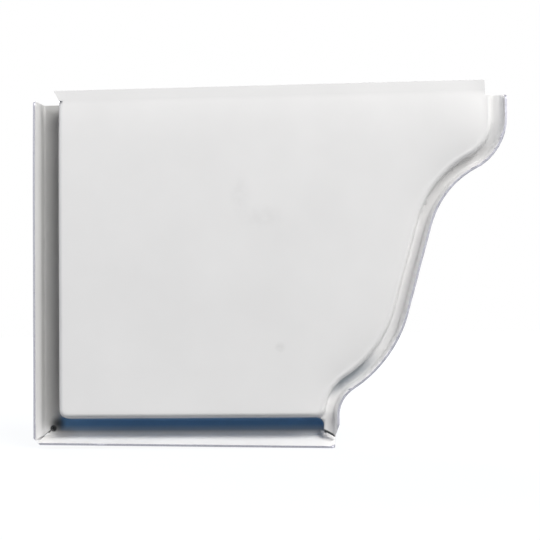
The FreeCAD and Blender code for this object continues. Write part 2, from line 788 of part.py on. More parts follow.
for item in document.Objects:
    if "Invalid" in item.State or "Error" in item.State:
        raise RuntimeError(f"{item.Name} did not build: {item.State}")
    solid = item.isDerivedFrom("Part::Feature") and not item.isDerivedFrom("Part::Part2DObject")
    if solid and (item.Shape.isNull() or not item.Shape.isValid()):
        raise RuntimeError(f"{item.Name} has no sound shape")

os.makedirs("parts", exist_ok=True)
end_cap.Shape.exportStep(f"parts/{end_cap.Label}.step")
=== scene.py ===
import math

import bmesh
import bpy
from mathutils import Matrix, Vector


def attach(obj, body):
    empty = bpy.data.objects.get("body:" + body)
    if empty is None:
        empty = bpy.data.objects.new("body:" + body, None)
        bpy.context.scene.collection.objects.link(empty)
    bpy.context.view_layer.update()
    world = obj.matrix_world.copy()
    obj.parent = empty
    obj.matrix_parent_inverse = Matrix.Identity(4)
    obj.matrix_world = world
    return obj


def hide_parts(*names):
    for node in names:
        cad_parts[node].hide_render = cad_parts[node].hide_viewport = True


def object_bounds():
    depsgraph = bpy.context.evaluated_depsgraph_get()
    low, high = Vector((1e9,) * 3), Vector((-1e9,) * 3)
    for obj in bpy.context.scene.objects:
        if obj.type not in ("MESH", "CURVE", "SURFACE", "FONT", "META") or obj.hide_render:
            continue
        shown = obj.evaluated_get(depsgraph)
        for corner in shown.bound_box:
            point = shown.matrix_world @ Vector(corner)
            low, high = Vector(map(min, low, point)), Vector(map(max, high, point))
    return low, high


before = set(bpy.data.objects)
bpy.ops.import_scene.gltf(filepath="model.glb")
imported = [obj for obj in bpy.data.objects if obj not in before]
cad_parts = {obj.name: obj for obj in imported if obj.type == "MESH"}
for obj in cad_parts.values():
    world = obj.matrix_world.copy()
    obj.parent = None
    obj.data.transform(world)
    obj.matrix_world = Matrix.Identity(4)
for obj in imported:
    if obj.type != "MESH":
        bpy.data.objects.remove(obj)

# Gutter end cap: one folded and drawn sheet of coil-coated aluminium.
# X runs from the gutter's back wall to its moulded front, Z is up, and -Y points into the gutter.

MM = 0.001
CAD_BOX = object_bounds()

# Sizes of the folded sheet, as in the part, in millimetres.
SHEET = 0.6
BOSS_RISE = 8.0
BACK_HEIGHT = 94.2
FRONT_HEIGHT = 92.8
GUTTER_WIDTH = 129.0
BASE_WIDTH = 82.3
NOSE_HEIGHT = 86.6
NOSE_RADIUS = 14.4
COVE_RADIUS = 26.3
SLOPE_ANGLE = 15.5
SLOPE_REACH = 105.2
SLOPE_HEIGHT = 47.2
BELLY_RADIUS = 34.7
TOE_RADIUS = 9.8
TOE_HEIGHT = 5.75
PANEL_EDGE = 4.2
LIP_SPREAD = 0.9
STRIP_START = 6.1
STRIP_END = 124.5

# How far the drawn sheet has relaxed, in millimetres: the panel's crown and shoulder,
# the front channel running out at its upper end, a slow wave, and the lip's pucker.
LATTICE = 1.5
TOP_FALL = 1.1
TOP_REACH = 9.0
SHOULDER_FALL = 0.7
SHOULDER_REACH = 4.0
RUN_OUT = 1.5
RUN_OUT_HEIGHTS = (74.0, 87.0)
RUN_OUT_EDGE = (122.0, 124.8)
RUN_OUT_DEPTHS = (-7.4, -4.6)
SHEET_WAVE = 0.16
SHEET_WAVE_LENGTH = 42.0
LIP_PUCKER = 0.22
LIP_PUCKER_LENGTH = 9.0
LIP_PUCKER_REACH = 3.0

# Painted shade in the deep channel: a dark colour along the foot of the panel's wall, in the boss's
# shadow.
# Lengths and places in millimetres. It lies whole along the bottom, thin on the upright stretch, and bluer
# low down.
# Faces turned out of the gutter by more than OUTER_FACING take none.
CHANNEL_SHADE_BACK = 3.4
CHANNEL_SHADE_BOTTOM = 4.5
CHANNEL_SHADE_FRONT = 77.6
CHANNEL_SHADE_RISE = 1.5
CHANNEL_SHADE_FULL = 2.7
CHANNEL_SHADE_REACH = 4.7
CHANNEL_SHADE_HEEL = (2.8, 5.2)
CHANNEL_SHADE_LOW = (4.8, 7.0)
CHANNEL_SHADE_TINT = (7.0, 9.0)
CHANNEL_SHADE_TINT_TOP = (26.0, 40.0)
CHANNEL_SHADE_UPRIGHT = 0.5
OUTER_FACING = 0.5

# Painted shade in the front channel along its wall's foot: strongest on the belly, less in the cove, thin
# on the slope.
FRONT_SHADE_FOOT = 2.1
FRONT_SHADE_RISE = 5.0
FRONT_SHADE_FULL = 0.8
FRONT_SHADE_REACH = 2.3
FRONT_SHADE_SHARE = 0.55
FRONT_SHADE_START = (9.5, 15.0)
FRONT_SHADE_BELLY = (17.5, 24.0)
FRONT_SHADE_SLOPE = 0.12
FRONT_SHADE_COVE = 0.45
FRONT_SHADE_COVE_START = (52.0, 68.0)
FRONT_SHADE_COVE_END = (77.0, 83.0)

# How the rules tell cut edges from faces. Where the sheet is deeper than EDGE_DEPTH thicknesses
# behind a face, the face is a cut edge. All faces at the deep floor's level, and those lying flat
# at the shallow floor's, stay painted. Levels along Y in millimetres.
EDGE_DEPTH = 1.13
LYING_FLAT = 0.8
FLOOR_FACE = -0.7
STEP_FACE = -6.0

# Marks: centre and half sizes along X, Y and Z in millimetres, tilt in degrees, strength.
RUBS = [
    ((57.0, -8.0, 66.8), (2.6, 0.6, 5.5), 0, 0.045),
    ((63.0, -8.0, 60.4), (6.0, 0.6, 3.0), 0, 0.045),
    ((67.7, -8.0, 24.6), (1.3, 0.6, 1.3), 0, 0.12),
    ((89.6, -8.0, 88.8), (4.0, 0.6, 2.6), 0, 0.035),
    ((8.4, -8.0, 92.6), (2.4, 0.6, 1.2), 0, 0.13),
]
# Painted shade: near-black patches in the relief hole, in the heel's corner, in the heel's slit and in the
# toe's slit.
RECESS_SHADE_MARKS = [
    ((2.5, 0.15, 2.1), (0.85, 0.7, 0.85), 0, 2.5),
    ((3.8, -0.5, 3.4), (2.4, 0.8, 2.2), 0, 1.3),
    ((0.9, -3.0, 0.8), (1.9, 6.0, 0.25), -42, 1.2),
    ((80.5, -4.2, 0.9), (2.6, 2.0, 0.45), 29, 1.5),
]

# The floor shows white. Near the cap its own glow is weaker, so that the shadow is seen there.
# Lengths in metres.
FLOOR_SIZE = 3.0
FLOOR_GLOW = (0.92, 1.0)
FLOOR_GLOW_REACH = (0.12, 0.35)


def add_node(tree, kind, inputs=None, **settings):
    """Adds a node with its settings, and fills its inputs with values or with other nodes' outputs."""
    node = tree.nodes.new(kind)
    for name, value in settings.items():
        setattr(node, name, value)
    for name, value in (inputs or {}).items():
        if isinstance(value, bpy.types.NodeSocket):
            tree.links.new(value, node.inputs[name])
        else:
            node.inputs[name].default_value = value
    return node


def linear(hex_colour):
    """An sRGB hex colour as linear RGBA."""
    channels = [int(hex_colour[i:i + 2], 16) / 255 for i in (1, 3, 5)]
    return [c / 12.92 if c <= 0.04045 else ((c + 0.055) / 1.055) ** 2.4 for c in channels] + [1.0]


def per_metre(millimetres):
    """Texture scale whose features are this many millimetres apart on Object coordinates in metres."""
    return 1.0 / (millimetres * MM)


def link(name, data):
    """A new object in the scene."""
    item = bpy.data.objects.new(name, data)
    bpy.context.scene.collection.objects.link(item)
    return item


# The moulded front

def moulding_line(offset, step=1.0):
    """Points down the moulded front, moved out by offset: face, nose, cove, slope, belly and toe."""
    lean = math.radians(SLOPE_ANGLE)
    normal = Vector((math.cos(lean), -math.sin(lean)))
    down = Vector((-math.sin(lean), -math.cos(lean)))
    middle = Vector((SLOPE_REACH, SLOPE_HEIGHT))
    nose = Vector((GUTTER_WIDTH - NOSE_RADIUS, NOSE_HEIGHT))
    toe = Vector((BASE_WIDTH + TOE_RADIUS, TOE_HEIGHT))

    def touching(fixed, fixed_radius, radius, side, along):
        """Centre of an arc that touches the straight slope and a fixed arc."""
        base = middle + normal * (side * radius)
        gap = base - fixed
        run = gap.dot(along)
        span = (fixed_radius + radius) ** 2 - gap.dot(gap) + run ** 2
        return base + along * (math.sqrt(span) - run)

    cove = touching(nose, NOSE_RADIUS, COVE_RADIUS, 1, down)
    belly = touching(toe, TOE_RADIUS, BELLY_RADIUS, -1, -down)
    nose_end = math.atan2(*(cove - nose).yx)
    toe_start = math.atan2(*(belly - toe).yx)
    arcs = [
        (nose, NOSE_RADIUS + offset, 0.0, nose_end),
        (cove, COVE_RADIUS - offset, nose_end + math.pi, math.pi - lean),
        (belly, BELLY_RADIUS + offset, -lean, toe_start - math.pi),
        (toe, TOE_RADIUS - offset, toe_start, math.pi),
    ]
    points = [Vector((GUTTER_WIDTH + offset, FRONT_HEIGHT))]
    for centre, radius, start, end in arcs:
        count = max(2, round(abs(end - start) * radius / step))
        for index in range(count + 1):
            angle = start + (end - start) * index / count
            points.append(centre + Vector((math.cos(angle), math.sin(angle))) * radius)
    return points


def guide_line(name, points, y):
    """An open line in the plane at y, which the sheet's rules measure their distances from."""
    curve = bpy.data.curves.new(name, "CURVE")
    curve.dimensions = "3D"
    spline = curve.splines.new("POLY")
    spline.points.add(len(points) - 1)
    for spot, (x, z) in zip(spline.points, points):
        spot.co = (x * MM, y * MM, z * MM, 1.0)
    return link(name, curve)


# Finishes

def coil_coat_white():
    """Satin white polyester coil coat: a pale skin, faint orange peel, a few rubs, painted shade in its
    channels and slits.
    """
    material = bpy.data.materials.new("coil_coat_white")
    material.use_nodes = True
    tree = material.node_tree
    tree.nodes.clear()
    place = add_node(tree, "ShaderNodeTexCoord").outputs["Object"]

    clouds = add_node(tree, "ShaderNodeTexNoise", {
        "Vector": place, "Scale": per_metre(26), "Detail": 3.0, "Roughness": 0.55})
    cloud_tone = add_node(tree, "ShaderNodeValToRGB", {"Fac": clouds.outputs["Fac"]})
    cloud_tone.color_ramp.elements[0].position = 0.32
    cloud_tone.color_ramp.elements[0].color = linear("#e8e7e7")
    cloud_tone.color_ramp.elements[1].position = 0.68
    cloud_tone.color_ramp.elements[1].color = linear("#ecebeb")

    grain = add_node(tree, "ShaderNodeTexNoise", {
        "Vector": place, "Scale": per_metre(2.2), "Detail": 3.0, "Roughness": 0.6})
    patchy = add_node(tree, "ShaderNodeMapRange", {
        "Value": grain.outputs["Fac"], "From Min": 0.38, "From Max": 0.62, "To Min": 0.3})

    def marked(tone, marks, colour, cover):
        """The tone with soft patches of a colour over it."""
        for centre, half_sizes, tilt, strength in marks:
            middle = Vector(centre) * MM
            level = add_node(tree, "ShaderNodeVectorRotate", {
                "Vector": place, "Center": middle, "Angle": math.radians(-tilt)}, rotation_type="Y_AXIS")
            away = add_node(tree, "ShaderNodeVectorMath", {
                0: level.outputs["Vector"], 1: middle}, operation="SUBTRACT")
            scales = [per_metre(half) for half in half_sizes]
            share = add_node(tree, "ShaderNodeVectorMath", {
                0: away.outputs["Vector"], 1: scales}, operation="MULTIPLY")
            spread = add_node(tree, "ShaderNodeVectorMath", {
                0: share.outputs["Vector"]}, operation="LENGTH")
            mark = add_node(tree, "ShaderNodeMapRange", {
                "Value": spread.outputs["Value"], "From Min": 1.4, "From Max": 0.2, "To Max": strength},
                interpolation_type="SMOOTHSTEP")
            wear_and_shade = add_node(tree, "ShaderNodeMath", {
                0: mark.outputs["Result"], 1: cover}, operation="MULTIPLY", use_clamp=True)
            tone = add_node(tree, "ShaderNodeMix", {
                "Factor": wear_and_shade.outputs[0], "A": tone, "B": linear(colour)},
                data_type="RGBA").outputs["Result"]
        return tone

    rubbed = marked(cloud_tone.outputs["Color"], RUBS, "#3c3b38", patchy.outputs["Result"])
    # Painted shade in the channels, laid by the sheet's rules: grey near the heel and higher up, bluer low
    # down and where it is thick, with the sheen dulled there.
    painted_shade = add_node(tree, "ShaderNodeAttribute", attribute_name="settled_dust").outputs["Fac"]
    axes = add_node(tree, "ShaderNodeSeparateXYZ", {"Vector": place}).outputs
    low_down = add_node(tree, "ShaderNodeMapRange", {
        "Value": axes["Z"], "From Min": CHANNEL_SHADE_TINT_TOP[1] * MM, "From Max": CHANNEL_SHADE_TINT_TOP[0] * MM})
    past_heel = add_node(tree, "ShaderNodeMapRange", {
        "Value": axes["X"], "From Min": CHANNEL_SHADE_TINT[0] * MM, "From Max": CHANNEL_SHADE_TINT[1] * MM,
        "To Max": low_down.outputs["Result"]})
    thin_shade_tone = add_node(tree, "ShaderNodeMix", {
        "Factor": past_heel.outputs["Result"], "A": linear("#54544f"), "B": linear("#4a6070")},
        data_type="RGBA").outputs["Result"]
    thick_shade = add_node(tree, "ShaderNodeMapRange", {"Value": painted_shade, "From Min": 0.5})
    shade_tone = add_node(tree, "ShaderNodeMix", {
        "Factor": thick_shade.outputs["Result"], "A": thin_shade_tone, "B": linear("#5b82aa")},
        data_type="RGBA").outputs["Result"]
    with_painted_shade = add_node(tree, "ShaderNodeMix", {
        "Factor": painted_shade, "A": rubbed, "B": shade_tone}, data_type="RGBA").outputs["Result"]
    # Painted shade: near-black patches in the relief hole, the heel's corner and the two slits.
    tone = marked(with_painted_shade, RECESS_SHADE_MARKS, "#1d2024", 1.0)
    sheen = add_node(tree, "ShaderNodeMapRange", {"Value": painted_shade, "To Min": 0.5, "To Max": 0.1})

    peel = add_node(tree, "ShaderNodeTexNoise", {
        "Vector": place, "Scale": per_metre(0.9), "Detail": 2.0, "Roughness": 0.5})
    bump = add_node(tree, "ShaderNodeBump", {
        "Strength": 0.25, "Distance": 0.02 * MM, "Height": peel.outputs["Fac"]})

    gloss = add_node(tree, "ShaderNodeMapRange", {
        "Value": clouds.outputs["Fac"], "From Min": 0.3, "From Max": 0.7, "To Min": 0.36, "To Max": 0.46})
    shader = add_node(tree, "ShaderNodeBsdfPrincipled", {
        "Base Color": tone,
        "Roughness": gloss.outputs["Result"],
        "IOR": 1.48,
        "Specular IOR Level": sheen.outputs["Result"],
        "Normal": bump.outputs["Normal"],
    })
    add_node(tree, "ShaderNodeOutputMaterial", {"Surface": shader.outputs["BSDF"]})
    return material


def sheared_aluminium():
    """Bare cut edge of the sheet: dull grey metal with a fine uneven grain."""
    material = bpy.data.materials.new("sheared_aluminium")
    material.use_nodes = True
    tree = material.node_tree
    tree.nodes.clear()
    place = add_node(tree, "ShaderNodeTexCoord").outputs["Object"]
    shear = add_node(tree, "ShaderNodeTexNoise", {
        "Vector": place, "Scale": per_metre(0.5), "Detail": 3.0, "Roughness": 0.6})
    tone = add_node(tree, "ShaderNodeValToRGB", {"Fac": shear.outputs["Fac"]})
    tone.color_ramp.elements[0].color = linear("#8f8f9a")
    tone.color_ramp.elements[1].color = linear("#c2c2cb")
    shader = add_node(tree, "ShaderNodeBsdfPrincipled", {
        "Base Color": tone.outputs["Color"],
        "Metallic": 0.6,
        "Roughness": 0.5,
    })
    add_node(tree, "ShaderNodeOutputMaterial", {"Surface": shader.outputs["BSDF"]})
    return material


# The folded sheet

def lattice_mesh(source):
    """A merged copy of the CAD sheet, cut into small cells that can follow a soft form."""
    work = bmesh.new()
    work.from_mesh(source.data)
    bmesh.ops.remove_doubles(work, verts=work.verts, dist=0.001 * MM)
    bmesh.ops.dissolve_limit(
        work, angle_limit=math.radians(0.3), use_dissolve_boundaries=False,
        verts=work.verts, edges=work.edges)
    low = [min(v.co[axis] for v in work.verts) for axis in range(3)]
    high = [max(v.co[axis] for v in work.verts) for axis in range(3)]
    for axis in (0, 2, 1):
        normal = Vector([1.0 if axis == other else 0.0 for other in range(3)])
        count = math.floor((high[axis] - low[axis]) / (LATTICE * MM))
        for index in range(1, count + 1):
            level = normal * (low[axis] + index * LATTICE * MM)
            bmesh.ops.bisect_plane(
                work, geom=[*work.verts, *work.edges, *work.faces],
                dist=0.002 * MM, plane_co=level, plane_no=normal)
    mesh = bpy.data.meshes.new("folded_sheet")
    work.to_mesh(mesh)
    work.free()
    return mesh


def relax_tree():
    """Rules that turn the plain folded sheet into a drawn one, lay painted shade in its channels, and find
    its cut edges.
    """
    tree = bpy.data.node_groups.new("relax_sheet", "GeometryNodeTree")
    sockets = [
        ("Sheet", "NodeSocketGeometry", None),
        ("Top Line", "NodeSocketObject", None),
        ("Top Fall", "NodeSocketFloat", TOP_FALL * MM),
        ("Top Reach", "NodeSocketFloat", TOP_REACH * MM),
        ("Shoulder Line", "NodeSocketObject", None),
        ("Shoulder Fall", "NodeSocketFloat", SHOULDER_FALL * MM),
        ("Shoulder Reach", "NodeSocketFloat", SHOULDER_REACH * MM),
        ("Run Out", "NodeSocketFloat", RUN_OUT * MM),
        ("Lip Line", "NodeSocketObject", None),
        ("Lip Pucker", "NodeSocketFloat", LIP_PUCKER * MM),
        ("Lip Pucker Reach", "NodeSocketFloat", LIP_PUCKER_REACH * MM),
        ("Channel Shade Line", "NodeSocketObject", None),
        ("Channel Shade Full", "NodeSocketFloat", CHANNEL_SHADE_FULL * MM),
        ("Channel Shade Reach", "NodeSocketFloat", CHANNEL_SHADE_REACH * MM),
        ("Film Line", "NodeSocketObject", None),
        ("Film Full", "NodeSocketFloat", FRONT_SHADE_FULL * MM),
        ("Film Reach", "NodeSocketFloat", FRONT_SHADE_REACH * MM),
        ("Front Shade Share", "NodeSocketFloat", FRONT_SHADE_SHARE),
        ("Sheet Wave", "NodeSocketFloat", SHEET_WAVE * MM),
        ("Thickness", "NodeSocketFloat", SHEET * MM),
        ("Rise", "NodeSocketFloat", BOSS_RISE * MM),
        ("Seed", "NodeSocketFloat", 3.0),
        ("Paint", "NodeSocketMaterial", None),
        ("Cut Edge", "NodeSocketMaterial", None),
    ]
    for name, kind, value in sockets:
        socket = tree.interface.new_socket(name, in_out="INPUT", socket_type=kind)
        if value is not None:
            socket.default_value = value
    tree.interface.new_socket("Sheet", in_out="OUTPUT", socket_type="NodeSocketGeometry")
    given = add_node(tree, "NodeGroupInput").outputs
    place = add_node(tree, "GeometryNodeInputPosition").outputs["Position"]
    axes = add_node(tree, "ShaderNodeSeparateXYZ", {"Vector": place}).outputs
    rise = add_node(tree, "ShaderNodeMath", {
        0: axes["Y"], 1: given["Rise"]}, operation="DIVIDE")
    height = add_node(tree, "ShaderNodeMath", {
        0: rise.outputs[0], 1: -1.0}, operation="MULTIPLY", use_clamp=True)

    def measure(line, spot):
        """The distance from a spot to a guide line, and the way there."""
        info = add_node(tree, "GeometryNodeObjectInfo", {"Object": given[line]})
        wire = add_node(tree, "GeometryNodeCurveToMesh", {"Curve": info.outputs["Geometry"]})
        near = add_node(tree, "GeometryNodeProximity", {
            0: wire.outputs["Mesh"], "Sample Position": spot}, target_element="EDGES")
        way = add_node(tree, "ShaderNodeVectorMath", {
            0: near.outputs["Position"], 1: spot}, operation="SUBTRACT")
        return near.outputs["Distance"], way.outputs["Vector"]

    def nearness(line, reach, spot):
        """Falls from 1 on the line to nothing a few reaches away from it."""
        distance = measure(line, spot)[0]
        share = add_node(tree, "ShaderNodeMath", {0: distance, 1: given[reach]}, operation="DIVIDE")
        away = add_node(tree, "ShaderNodeMath", {0: share.outputs[0], 1: -1.0}, operation="MULTIPLY")
        return add_node(tree, "ShaderNodeMath", {0: away.outputs[0]}, operation="EXPONENT").outputs[0]

    below_strip = add_node(tree, "ShaderNodeMath", {
        0: axes["Z"], 1: BACK_HEIGHT * MM}, operation="MINIMUM")
    panel_place = add_node(tree, "ShaderNodeCombineXYZ", {
        "X": axes["X"], "Y": axes["Y"], "Z": below_strip.outputs[0]})
    top = add_node(tree, "ShaderNodeMath", {
        0: nearness("Top Line", "Top Reach", panel_place.outputs["Vector"]), 1: given["Top Fall"]},
        operation="MULTIPLY")
    fall = add_node(tree, "ShaderNodeMath", {
        0: nearness("Shoulder Line", "Shoulder Reach", place),
        1: given["Shoulder Fall"], 2: top.outputs[0]}, operation="MULTIPLY_ADD")
    flat_place = add_node(tree, "ShaderNodeCombineXYZ", {"X": axes["X"], "Z": axes["Z"]})
    wave = add_node(tree, "ShaderNodeTexNoise", {
        "Vector": flat_place.outputs["Vector"], "W": given["Seed"], "Scale": per_metre(SHEET_WAVE_LENGTH),
        "Detail": 1.0}, noise_dimensions="4D")
    wave_share = add_node(tree, "ShaderNodeMath", {0: wave.outputs["Fac"], 1: 0.5}, operation="SUBTRACT")
    dip = add_node(tree, "ShaderNodeMath", {
        0: wave_share.outputs[0], 1: given["Sheet Wave"], 2: fall.outputs[0]}, operation="MULTIPLY_ADD")
    shift = add_node(tree, "ShaderNodeMath", {
        0: dip.outputs[0], 1: height.outputs[0]}, operation="MULTIPLY")

    def share_along(axis, limits, shares=(0.0, 1.0)):
        """Goes smoothly from one share to another between two places along an axis."""
        return add_node(tree, "ShaderNodeMapRange", {
            "Value": axes[axis], "From Min": limits[0] * MM, "From Max": limits[1] * MM,
            "To Min": shares[0], "To Max": shares[1]}, interpolation_type="SMOOTHSTEP").outputs["Result"]

    end_share = add_node(tree, "ShaderNodeMath", {
        0: share_along("Z", RUN_OUT_HEIGHTS), 1: share_along("X", RUN_OUT_EDGE)}, operation="MULTIPLY")
    floor_share = add_node(tree, "ShaderNodeMath", {
        0: end_share.outputs[0], 1: share_along("Y", RUN_OUT_DEPTHS)}, operation="MULTIPLY")
    lift = add_node(tree, "ShaderNodeMath", {
        0: floor_share.outputs[0], 1: given["Run Out"]}, operation="MULTIPLY")
    level = add_node(tree, "ShaderNodeMath", {
        0: shift.outputs[0], 1: lift.outputs[0]}, operation="SUBTRACT")
    draw = add_node(tree, "ShaderNodeCombineXYZ", {"Y": level.outputs[0]})

    pucker = add_node(tree, "ShaderNodeTexNoise", {
        "Vector": flat_place.outputs["Vector"], "W": given["Seed"], "Scale": per_metre(LIP_PUCKER_LENGTH),
        "Detail": 0.0}, noise_dimensions="4D")
    swing = add_node(tree, "ShaderNodeVectorMath", {
        0: pucker.outputs["Color"], 1: (0.5, 0.5, 0.5)}, operation="SUBTRACT")
    pucker_size = add_node(tree, "ShaderNodeMath", {
        0: nearness("Lip Line", "Lip Pucker Reach", place), 1: given["Lip Pucker"]}, operation="MULTIPLY")
    sway = add_node(tree, "ShaderNodeVectorMath", {
        0: swing.outputs["Vector"], "Scale": pucker_size.outputs[0]}, operation="SCALE")
    offset = add_node(tree, "ShaderNodeVectorMath", {0: draw.outputs["Vector"], 1: sway.outputs["Vector"]})

    facing = add_node(tree, "GeometryNodeInputNormal").outputs["Normal"]
    inward = add_node(tree, "ShaderNodeVectorMath", {0: facing, "Scale": -1.0}, operation="SCALE")
    start = add_node(tree, "ShaderNodeVectorMath", {
        0: facing, 1: (-0.02 * MM, -0.02 * MM, -0.02 * MM), 2: place}, operation="MULTIPLY_ADD")
    probe = add_node(tree, "GeometryNodeRaycast", {
        "Target Geometry": given["Sheet"],
        "Source Position": start.outputs["Vector"],
        "Ray Direction": inward.outputs["Vector"],
        "Ray Length": 20 * MM,
    })
    limit = add_node(tree, "ShaderNodeMath", {0: given["Thickness"], 1: EDGE_DEPTH}, operation="MULTIPLY")
    deep = add_node(tree, "ShaderNodeMath", {
        0: probe.outputs["Hit Distance"], 1: limit.outputs[0]}, operation="GREATER_THAN")
    facing_axes = add_node(tree, "ShaderNodeSeparateXYZ", {"Vector": facing}).outputs
    flat_on = add_node(tree, "ShaderNodeMath", {
        0: facing_axes["Y"], 1: facing_axes["Y"]}, operation="MULTIPLY")
    lying = add_node(tree, "ShaderNodeMath", {
        0: flat_on.outputs[0], 1: LYING_FLAT}, operation="GREATER_THAN")
    eased = add_node(tree, "ShaderNodeMath", {
        0: lying.outputs[0], 1: (FLOOR_FACE - STEP_FACE) * MM, 2: axes["Y"]}, operation="MULTIPLY_ADD")
    floor_face = add_node(tree, "ShaderNodeMath", {
        0: eased.outputs[0], 1: FLOOR_FACE * MM}, operation="GREATER_THAN")
    edge = add_node(tree, "ShaderNodeMath", {
        0: deep.outputs[0], 1: floor_face.outputs[0]}, operation="SUBTRACT")
    bare = add_node(tree, "ShaderNodeMath", {0: edge.outputs[0], 1: 0.5}, operation="GREATER_THAN")
    cut = add_node(tree, "GeometryNodeCaptureAttribute", {"Geometry": given["Sheet"]}, domain="FACE")
    cut.capture_items.new("BOOLEAN", "Cut")
    tree.links.new(bare.outputs[0], cut.inputs["Cut"])

    gutter_side = add_node(tree, "ShaderNodeMath", {
        0: facing_axes["Y"], 1: OUTER_FACING}, operation="LESS_THAN")

    def layer(name):
        """Painted shade on the inner faces turned to a guide line: whole up to Full, and gone at Reach."""
        gap, way = measure(f"{name} Line", place)
        towards = add_node(tree, "ShaderNodeVectorMath", {0: facing, 1: way}, operation="DOT_PRODUCT")
        turned = add_node(tree, "ShaderNodeMath", {
            0: towards.outputs["Value"], 1: 0.0}, operation="GREATER_THAN")
        takes_shade = add_node(tree, "ShaderNodeMath", {
            0: turned.outputs[0], 1: gutter_side.outputs[0]}, operation="MULTIPLY")
        return add_node(tree, "ShaderNodeMapRange", {
            "Value": gap, "From Min": given[f"{name} Reach"], "From Max": given[f"{name} Full"],
            "To Max": takes_shade.outputs[0]}, interpolation_type="SMOOTHSTEP").outputs["Result"]

    # Painted shade in the deep channel: whole along the bottom past the heel, thinner up the back.
    along_bottom = add_node(tree, "ShaderNodeMath", {
        0: share_along("X", CHANNEL_SHADE_HEEL), 1: share_along("Z", CHANNEL_SHADE_LOW, (1.0, 0.0))}, operation="MULTIPLY")
    channel_shade_share = add_node(tree, "ShaderNodeMath", {
        0: along_bottom.outputs[0], 1: 1.0 - CHANNEL_SHADE_UPRIGHT, 2: CHANNEL_SHADE_UPRIGHT}, operation="MULTIPLY_ADD")
    deep_channel_shade = add_node(tree, "ShaderNodeMath", {
        0: layer("Channel Shade"), 1: channel_shade_share.outputs[0]}, operation="MULTIPLY")
    # Painted shade on the front channel's wall foot: strongest on the belly, some in the cove, thin on the
    # slope.
    belly_shade = add_node(tree, "ShaderNodeMath", {
        0: share_along("Z", FRONT_SHADE_START), 1: share_along("Z", FRONT_SHADE_BELLY, (1.0, FRONT_SHADE_SLOPE))},
        operation="MULTIPLY")
    cove_shade = add_node(tree, "ShaderNodeMath", {
        0: share_along("Z", FRONT_SHADE_COVE_START), 1: share_along("Z", FRONT_SHADE_COVE_END, (FRONT_SHADE_COVE, 0.0))},
        operation="MULTIPLY")
    either_shade = add_node(tree, "ShaderNodeMath", {
        0: belly_shade.outputs[0], 1: cove_shade.outputs[0]}, operation="MAXIMUM")
    front_shade_share = add_node(tree, "ShaderNodeMath", {
        0: either_shade.outputs[0], 1: given["Front Shade Share"]}, operation="MULTIPLY")
    front_shade = add_node(tree, "ShaderNodeMath", {
        0: layer("Film"), 1: front_shade_share.outputs[0]}, operation="MULTIPLY")
    painted_shade = add_node(tree, "ShaderNodeMath", {
        0: deep_channel_shade.outputs[0], 1: front_shade.outputs[0]}, operation="MAXIMUM")
    with_painted_shade = add_node(tree, "GeometryNodeStoreNamedAttribute", {
        "Geometry": cut.outputs["Geometry"], "Name": "settled_dust", "Value": painted_shade.outputs[0]},
        data_type="FLOAT")

    moved = add_node(tree, "GeometryNodeSetPosition", {
        "Geometry": with_painted_shade.outputs["Geometry"], "Offset": offset.outputs["Vector"]})
    joined = add_node(tree, "GeometryNodeRealizeInstances", {"Geometry": moved.outputs["Geometry"]})
    painted = add_node(tree, "GeometryNodeSetMaterial", {
        "Geometry": joined.outputs["Geometry"], "Material": given["Paint"]})
    edged = add_node(tree, "GeometryNodeSetMaterial", {
        "Geometry": painted.outputs["Geometry"], "Selection": cut.outputs["Cut"],
        "Material": given["Cut Edge"]})
    add_node(tree, "NodeGroupOutput", {"Sheet": edged.outputs["Geometry"]})
    return tree


def drawn_sheet():
    """The end cap: folded, drawn and trimmed, with painted shade in its channels."""
    top_line = guide_line("top_line", [(STRIP_START, BACK_HEIGHT), (STRIP_END, BACK_HEIGHT)], -BOSS_RISE)
    shoulder_line = guide_line("shoulder_line", moulding_line(-PANEL_EDGE), -BOSS_RISE)
    lip_line = guide_line("lip_line", moulding_line(LIP_SPREAD), -BOSS_RISE)
    # Guide lines along the walls' feet, where the painted shade in the deep and front channels lies.
    foot = [(CHANNEL_SHADE_BACK, BACK_HEIGHT), (CHANNEL_SHADE_BACK, CHANNEL_SHADE_BOTTOM), (CHANNEL_SHADE_FRONT, CHANNEL_SHADE_BOTTOM)]
    dust_line = guide_line("dust_line", foot, -CHANNEL_SHADE_RISE)
    front_foot = [spot for spot in moulding_line(-FRONT_SHADE_FOOT) if spot.y > FRONT_SHADE_START[0]]
    film_line = guide_line("film_line", front_foot, -FRONT_SHADE_RISE)
    plain = link("plain_sheet", lattice_mesh(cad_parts["end_cap"]))
    tree = relax_tree()
    relax = plain.modifiers.new("relax", "NODES")
    relax.node_group = tree
    values = {
        "Top Line": top_line,
        "Shoulder Line": shoulder_line,
        "Lip Line": lip_line,
        "Channel Shade Line": dust_line,
        "Film Line": film_line,
        "Paint": coil_coat_white(),
        "Cut Edge": sheared_aluminium(),
    }
    for item in tree.interface.items_tree:
        if item.in_out == "INPUT" and item.name in values:
            relax[item.identifier] = values[item.name]
    evaluated = plain.evaluated_get(bpy.context.evaluated_depsgraph_get())
    mesh = bpy.data.meshes.new_from_object(evaluated)
    mesh.name = "end_cap_sheet"
    for guide in (plain, top_line, shoulder_line, lip_line, dust_line, film_line):
        bpy.data.objects.remove(guide)
    mesh.shade_smooth()
    mesh.set_sharp_from_angle(angle=math.radians(40))
    return link("end_cap_sheet", mesh)


# Light, room and camera

def light(name, way, distance, width, level, colour):
    """A soft square lamp that gives a white surface square on to it the brightness level."""
    lamp = bpy.data.lights.new(name, "AREA")
    lamp.size = width
    lamp.energy = level * math.pi ** 2 * distance ** 2
    lamp.color = linear(colour)[:3]
    item = link(name, lamp)
    centre = Vector((65 * MM, 0, 46 * MM))
    direction = Vector(way).normalized()
    item.location = centre + direction * distance
    item.rotation_euler = direction.to_track_quat("Z", "Y").to_euler()
    return item


